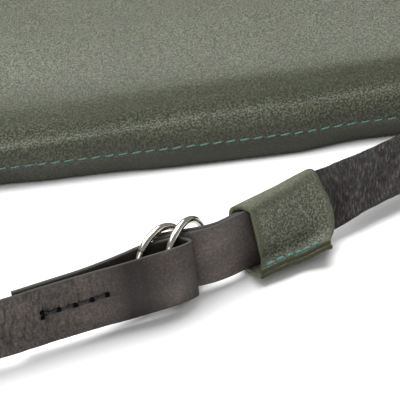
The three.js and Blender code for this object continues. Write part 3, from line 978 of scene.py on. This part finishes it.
def thread_stitches(name, starts, stops, normals, radius, lift, material):
    """Stitches as short bent threads: the path rises from one hole and falls into the next by a
    flat-topped arch, the thread is round and narrows to a point at both holes."""
    t = np.linspace(0.0, 1.0, THREAD_STEPS)
    turn = np.linspace(0.0, 2 * np.pi, THREAD_SIDES, endpoint=False)
    arch = 1 - (2 * t - 1) ** 4
    path = starts[:, None] + (stops - starts)[:, None] * t[:, None]
    path += normals[:, None] * (lift * (2 * arch - 1))[:, None]
    along = unit(stops - starts)[:, None]
    across = unit(np.cross(normals[:, None], along))
    over = np.cross(along, across)
    thick = radius * np.sqrt(np.maximum(0.0, 1 - (2 * t - 1) ** 8))[:, None, None]
    ring = across[:, :, None] * np.cos(turn)[:, None] + over[:, :, None] * np.sin(turn)[:, None]
    points = path[:, :, None] + ring * thick
    one = grid_faces(THREAD_STEPS, THREAD_SIDES, loop=True)
    number = np.arange(len(starts))[:, None]
    faces = (one + THREAD_STEPS * THREAD_SIDES * number[..., None]).reshape(-1, 4)
    strand_shift = 0.013
    length = np.linalg.norm(stops - starts, axis=1)[:, None] * t + number * strand_shift
    flow = np.stack(
        [
            np.broadcast_to(length[..., None], points.shape[:3]),
            np.broadcast_to(turn * radius, points.shape[:3]),
            np.zeros(points.shape[:3]),
        ],
        -1,
    )
    return new_piece(name, points, faces, material, None, {"flow": flow})


def wear_at(wear, back):
    """How worn a strap is at distances from the end of its tail: the least wear, and the gain that
    eases in past the start."""
    return wear.gain * rise(back, wear.start, wear.reach) + wear.least


def strap_sheet(settings, strap):
    """A strap's middle surface over its length and width: carried along its rows, bowed across,
    swollen where it is slack, and dented along a network of creases where random waves cross
    nothing. Swell and creases fade towards the long edges."""
    place, run = band_length(strap.rows)
    length = edged(run[-1], STRAP_ALONG, STRAP_LIP)
    across = edged(settings.width, STRAP_ACROSS, STRAP_LIP) - settings.width / 2
    middle, _, wide, face, bow = band_frame(strap.rows, np.interp(length, run, place))
    s, w = length[:, None], across[None, :]
    back = run[-1] - length
    seed, spread = strap.seed, strap.spread
    waves = random_waves(s, w * 0.6, seed, longest=0.009, shortest=0.003, spread=spread)
    fine = random_waves(s, w * 0.8, seed + 1, longest=0.004, shortest=0.0016, spread=spread * 1.6)
    amount = wear_at(strap.crease, back)[:, None]
    groove = hump(waves, 0.0, 0.2) * 0.6 + hump(fine, 0.0, 0.2) * 0.4
    to_edge = (2 * w / settings.width) ** 2
    free = 1 - 0.95 * to_edge
    swell = random_waves(s, w, seed + 2, longest=0.03, shortest=0.01, spread=np.pi)
    swell = swell * wear_at(strap.slack, back)[:, None] * free
    dent = settings.crease * amount * free * (groove - 0.3 + 0.35 * waves)
    arch = bow[:, None] * (1 - to_edge)
    off = face[:, None] * (arch + dent + swell)[..., None]
    grid = middle[:, None] + wide[:, None] * w[..., None] + off
    flow = np.stack(np.broadcast_arrays(s + strap.slant * w, w, 0.0 * w), -1)
    return grid, length, across, amount * groove, flow


def on_strap(settings, rows, where, across, side):
    """Points on a strap's face at lengths along it and heights above its middle, on its left (1) or
    right (-1) side, and the direction out of that face."""
    place, run = band_length(rows)
    middle, _, wide, face, bow = band_frame(rows, np.interp(where, run, place))
    arch = bow * (1 - (2 * across / settings.width) ** 2)
    out = face * side
    surface = middle + wide * across[:, None] + face * arch[:, None]
    return surface + out * settings.thickness / 2, out


def ring_points(settings, row, turn, round_wire):
    """A ring that stands upright on its heading: the middle of its wire goes round a circle by the
    turn, and the wire's skin goes round that middle."""
    at = fold_rows([FoldRow(row.s, row.h, row.z, 0, 0)])[0]
    heading = np.radians(row.heading)
    level = np.array([np.cos(heading), np.sin(heading), 0.0])
    upright = np.array([0.0, 0.0, 1.0])
    side = np.cross(level, upright)
    out = level * np.cos(turn)[..., None] + upright * np.sin(turn)[..., None]
    reach = settings.radius + settings.wire * np.cos(round_wire)
    points = out * reach[..., None] + side * (settings.wire * np.sin(round_wire))[..., None]
    return points + np.array([at.x, at.y, at.z]) * MM


def keeper_grid():
    """The keeper's middle surface: its section's curve, carried along the strap that it holds, slid
    along it, and let hang by the square of the way to the far end."""
    table = np.array(KEEPER_SECTION)
    dense = curve_at(table, np.linspace(0.0, len(table) - 1.0, KEEPER_SAMPLES), 0.0)
    run = line_length(dense[:, :2]) * MM
    section = edged(run[-1], KEEPER_ROUND, KEEPER_LIP)
    front, up, mouth, far, drop = (np.interp(section, run, column) * MM for column in dense.T)
    length = edged(KEEPER_LENGTH, KEEPER_ALONG, KEEPER_LIP)
    t = length / length[-1]
    place = KEEPER_FROM + (KEEPER_TO - KEEPER_FROM) * t
    middle, along, wide, face, _ = band_frame(RIGHT_ROWS, place)
    t = t[:, None]
    slide = mouth * (1 - t) + far * t
    height = up - drop * t**2
    grid = middle[:, None] + along[:, None] * slide[..., None]
    grid = grid + face[:, None] * front[None, :, None] + wide[:, None] * height[..., None]
    return grid, length, section


class CLUTCH_OT_pouch(bpy.types.Operator):
    """Make the two leather panels of the pouch"""

    bl_idname = "clutch.pouch"
    bl_label = "Pouch"

    def execute(self, context):
        pouch = context.scene.clutch_pouch
        leather = green_leather(pouch)
        share, out = stations(long_count=90, short_count=56, corner_count=12)
        place, inward = panel_rows(SHOULDER_LINE, rim_count=64, inner_count=40)
        skin = front_skin(pouch, place, inward, share, out)
        front = panel_shell("front_panel_leather", skin, pouch.wall, 1.0, leather)
        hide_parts("front_panel")
        place, inward = panel_rows(len(BACK_SKIN) - 1.0, rim_count=24, inner_count=10)
        skin = back_skin(pouch, place, inward, share, out)
        back = panel_shell("back_panel_leather", skin, pouch.wall, -1.0, leather)
        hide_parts("back_panel")
        return {"FINISHED"}


class CLUTCH_OT_topstitch(bpy.types.Operator):
    """Sew the teal topstitch along the pouch's closed edges"""

    bl_idname = "clutch.topstitch"
    bl_label = "Topstitch"

    def execute(self, context):
        pouch, stitch = context.scene.clutch_pouch, context.scene.clutch_stitch
        thread = twisted_thread("topstitch_thread", stitch.teal, 0.5)
        long, short, corner = 400, 240, 30
        share, out = stations(long, short, corner)
        # The line starts at the far end of the left side and goes round the near edge to the right.
        left_side = 2 * long + short + 3 * corner
        closed_edges = long + 2 * (short + corner)
        order = np.roll(np.arange(len(share)), -left_side)[:closed_edges]
        rows = np.array([STITCH_LINE - 0.15, STITCH_LINE, STITCH_LINE + 0.15])
        skin = front_skin(pouch, rows, np.array([0.5]), share[order], out[order])
        below, line, above = skin[:3]
        run = line_length(line)
        normals = unit(np.cross(np.gradient(line, axis=0), above - below))
        spare, slip = 0.006, 0.00022
        at = np.arange(spare, run[-1] - spare, stitch.pitch)
        slant = unit(read_line(at, run, above - below)) * slip
        thread_stitches(
            "topstitch",
            read_line(at, run, line) - slant,
            read_line(at + stitch.length, run, line) + slant,
            unit(read_line(at + stitch.length / 2, run, normals)),
            stitch.radius,
            stitch.radius * 0.7,
            thread,
        )
        return {"FINISHED"}


class CLUTCH_OT_straps(bpy.types.Operator):
    """Make the left and right straps with their folds"""

    bl_idname = "clutch.straps"
    bl_label = "Straps"

    def execute(self, context):
        settings = context.scene.clutch_strap
        leather = brown_leather(settings)
        for strap in STRAPS:
            grid, length, across, crease, flow = strap_sheet(settings, strap)
            back = length[-1] - length
            # Tone from the tables: the leather's own brown mixed with painted sheen, and a painted
            # shadow at the right strap's keeper mouth.
            tone = np.interp(back / MM, *np.array(strap.tone).T)[:, None]
            share = wear_at(strap.crease, back) / RIGHT_CREASE.gain
            worn = np.minimum(share, 1.0)[:, None] ** 1.6
            piece = leather_sheet(
                strap.node + "_leather",
                grid,
                length,
                across,
                settings.thickness,
                STRAP_LIP,
                leather,
                {
                    "crease": np.minimum(crease, 1.0),
                    "tone": np.broadcast_to(tone, crease.shape),
                    "worn": np.broadcast_to(worn, crease.shape),
                },
                {"flow": flow},
            )
            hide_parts(strap.node)
        return {"FINISHED"}


class CLUTCH_OT_rings(bpy.types.Operator):
    """Make the two nickel rings"""

    bl_idname = "clutch.rings"
    bl_label = "Rings"

    def execute(self, context):
        settings = context.scene.clutch_ring
        nickel = polished_nickel(settings)
        steps, sides, joint_width = 257, 29, 0.022
        turn = np.linspace(0.0, 2 * np.pi, steps)[:, None]
        round_wire = np.linspace(0.0, 2 * np.pi, sides)[None, :]
        for row in RINGS:
            points = ring_points(settings, row, turn, round_wire)
            faces = grid_faces(steps, sides)
            joint = hump(turn, row.joint, joint_width) + 0.0 * round_wire
            ring = new_piece(row.name + "_wire", points, faces, nickel, {"joint": joint})
            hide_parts(row.name)
        return {"FINISHED"}


class CLUTCH_OT_keeper(bpy.types.Operator):
    """Make the keeper and sew its flange"""

    bl_idname = "clutch.keeper"
    bl_label = "Keeper"

    def execute(self, context):
        stitch = context.scene.clutch_stitch
        wall = context.scene.clutch_strap.keeper_wall
        grid, length, section = keeper_grid()
        leather = bpy.data.materials["pouch_leather"]
        edge = np.minimum(length, length[-1] - length)[:, None]
        fold = np.abs(section - KEEPER_FOLD)[None, :]
        tight = np.maximum(ease(1.3 - edge / 0.0025), ease(1.3 - fold / 0.003))
        smooth = 0.3 + 0.7 * tight
        tones = {"pale": 1.2 - 0.75 * smooth, "smooth": smooth}
        keeper = leather_sheet(
            "keeper_leather",
            grid,
            length,
            section,
            wall,
            KEEPER_LIP,
            leather,
            tones,
            {},
        )
        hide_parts("keeper")
        # The seam's stitches lie on the flange's upper face.
        row = int(np.argmin(np.abs(section - KEEPER_SEAM)))
        line, square = grid[:, row], sheet_normals(grid)[:, row]
        square = square * np.sign(square[:, 2:].mean())
        first, last, count, reach, half = 0.0024, 0.0197, 6, 0.0034, 0.0016
        at = np.linspace(first, last, count)
        up = unit(read_line(at + half, length, square))
        thread_stitches(
            "keeper_stitches",
            read_line(at, length, line) + up * wall * 0.5,
            read_line(at + reach, length, line) + up * wall * 0.5,
            up,
            stitch.radius * 2.2,
            stitch.radius * 1.2,
            twisted_thread("keeper_thread", stitch.teal, 0.6),
        )
        return {"FINISHED"}


class CLUTCH_OT_hand_stitches(bpy.types.Operator):
    """Sew the left strap's doubled end and both straps' ends with waxed thread"""

    bl_idname = "clutch.hand_stitches"
    bl_label = "Hand Stitches"

    def execute(self, context):
        settings, stitch = context.scene.clutch_strap, context.scene.clutch_stitch
        thread = twisted_thread("waxed_thread", stitch.black, 0.55)
        holes = band_length(LEFT_ROWS)[1][-1] - np.array(HOLES_BACK) * MM
        level = np.array(HOLES_UP) * MM
        point, out = on_strap(settings, LEFT_ROWS, holes, level, -1.0)
        # Two strands cross between the holes, and their ends fork out before the first.
        runs = []
        crossing = np.array([0, 1, -1, 1, -1])
        for spread in (-0.0005, 0.0005):
            strand, _ = on_strap(settings, LEFT_ROWS, holes, level + spread * crossing, -1.0)
            runs.append((strand[:-1], strand[1:], out[:-1]))
        before_first = np.full(2, holes[0] - 0.0012)
        forks, fork_out = on_strap(settings, LEFT_ROWS, before_first, np.array(FORKS_UP) * MM, -1.0)
        meeting = point[:1] + (point[1:2] - point[:1]) * 0.35
        runs.append((forks, np.repeat(meeting, 2, 0), fork_out))
        knots = np.concatenate([forks, point[1:]])
        knot_out = np.concatenate([fork_out, out[1:]])
        half, knot_radius, knot_lift = 0.00075, 0.00085, 0.00012
        reach = unit(point[1:2] - point[:1]) * half
        # Dark matt knots at the holes: painted shade in the stitch holes.
        thread_stitches(
            "hole_shade_knots",
            knots - reach,
            knots + reach,
            knot_out,
            knot_radius,
            knot_lift,
            hole_shade(),
        )
        # Two short rows hold each strap's other end on the pouch's side.
        first, pitch, count, row_up = 0.004, 0.0045, 5, 0.0055
        ends = first + np.arange(count) * pitch
        for rows, side in ((LEFT_ROWS, -1.0), (RIGHT_ROWS, 1.0)):
            for across in (-row_up, row_up):
                sewn, sewn_out = on_strap(settings, rows, ends, np.full(count, across), side)
                runs.append((sewn[:-1], sewn[1:], sewn_out[:-1]))
        starts, stops, normals = (np.concatenate(part) for part in zip(*runs))
        radius, lift = 0.00038, 0.0003
        thread_stitches(
            "hand_stitches", starts, stops, normals, radius, lift, thread
        )
        return {"FINISHED"}


def new_camera(stage):
    """A camera on the near side of the bag: it looks along +Y, tilted down by its elevation, and
    its right and up directions are turned about that line by the roll."""
    level = np.array([1.0, 0.0, 0.0])
    view = np.array([0.0, np.cos(stage.tilt), -np.sin(stage.tilt)])
    upright = np.array([0.0, np.sin(stage.tilt), np.cos(stage.tilt)])
    axes = np.eye(4)
    axes[:3, 0] = np.cos(stage.roll) * level - np.sin(stage.roll) * upright
    axes[:3, 1] = np.sin(stage.roll) * level + np.cos(stage.roll) * upright
    axes[:3, 2] = -view
    axes[:3, 3] = np.array(stage.target) - view * stage.distance
    lens = bpy.data.cameras.new("camera")
    lens.sensor_width = SENSOR_MM
    lens.lens = stage.focal
    lens.clip_start = 0.01
    camera = bpy.data.objects.new("camera", lens)
    camera.matrix_world = Matrix(axes.tolist())
    return camera


def new_light(row, power):
    """A square soft light that stands at its spot and faces its aim."""
    lamp = bpy.data.lights.new(row.name, "AREA")
    lamp.size = row.size
    lamp.energy = power
    light = bpy.data.objects.new(row.name, lamp)
    turn = (Vector(row.spot) - Vector(row.aim)).to_track_quat("Z", "Y")
    light.matrix_world = Matrix.Translation(row.spot) @ turn.to_matrix().to_4x4()
    return light


class CLUTCH_OT_stage(bpy.types.Operator):
    """Set the camera, the soft lights and the pale floor"""

    bl_idname = "clutch.stage"
    bl_label = "Stage"

    def execute(self, context):
        scene = context.scene
        stage = scene.clutch_stage
        scene.camera = new_camera(stage)
        lights = new_light(KEY_LIGHT, stage.key), new_light(FILL_LIGHT, stage.fill)
        for thing in (scene.camera, *lights):
            scene.collection.objects.link(thing)
        world = bpy.data.worlds.new("studio")
        world.use_nodes = True
        background = world.node_tree.nodes["Background"]
        background.inputs["Color"].default_value = (1, 1, 1, 1)
        background.inputs["Strength"].default_value = stage.ambient
        scene.world = world
        scene.view_settings.view_transform = "Standard"
        corners = [(-1, -1, 0), (1, -1, 0), (1, 1, 0), (-1, 1, 0)]
        mesh = bpy.data.meshes.new("floor")
        mesh.from_pydata(np.array(corners) * FLOOR_REACH, [], [(0, 1, 2, 3)])
        mesh.materials.append(pale_floor())
        floor = bpy.data.objects.new("floor", mesh)
        scene.collection.objects.link(floor)
        return {"FINISHED"}


class CLUTCH_PT_sidebar(bpy.types.Panel):
    """Lists the bag's pieces in the sidebar"""

    bl_label = "Clutch Bag"
    bl_idname = "CLUTCH_PT_sidebar"
    bl_space_type = "VIEW_3D"
    bl_region_type = "UI"
    bl_category = "Clutch Bag"

    def draw(self, context):
        for operator in OPERATORS:
            self.layout.operator(operator.bl_idname)


SETTINGS = {
    "clutch_pouch": PouchSettings,
    "clutch_stitch": StitchSettings,
    "clutch_strap": StrapSettings,
    "clutch_ring": RingSettings,
    "clutch_stage": StageSettings,
}
OPERATORS = (
    CLUTCH_OT_stage,
    CLUTCH_OT_pouch,
    CLUTCH_OT_topstitch,
    CLUTCH_OT_straps,
    CLUTCH_OT_rings,
    CLUTCH_OT_keeper,
    CLUTCH_OT_hand_stitches,
)


def register():
    """Registers the settings, operators and panel."""
    for name, group in SETTINGS.items():
        bpy.utils.register_class(group)
        setattr(bpy.types.Scene, name, PointerProperty(type=group))
    for cls in (*OPERATORS, CLUTCH_PT_sidebar):
        bpy.utils.register_class(cls)


def unregister():
    """Removes what register added."""
    for cls in (CLUTCH_PT_sidebar, *reversed(OPERATORS)):
        bpy.utils.unregister_class(cls)
    for name, group in SETTINGS.items():
        delattr(bpy.types.Scene, name)
        bpy.utils.unregister_class(group)


def main():
    """Makes the whole bag."""
    register()
    bpy.ops.clutch.stage()
    bpy.ops.clutch.pouch()
    bpy.ops.clutch.topstitch()
    bpy.ops.clutch.straps()
    bpy.ops.clutch.rings()
    bpy.ops.clutch.keeper()
    bpy.ops.clutch.hand_stitches()


if __name__ == "__main__":
    main()
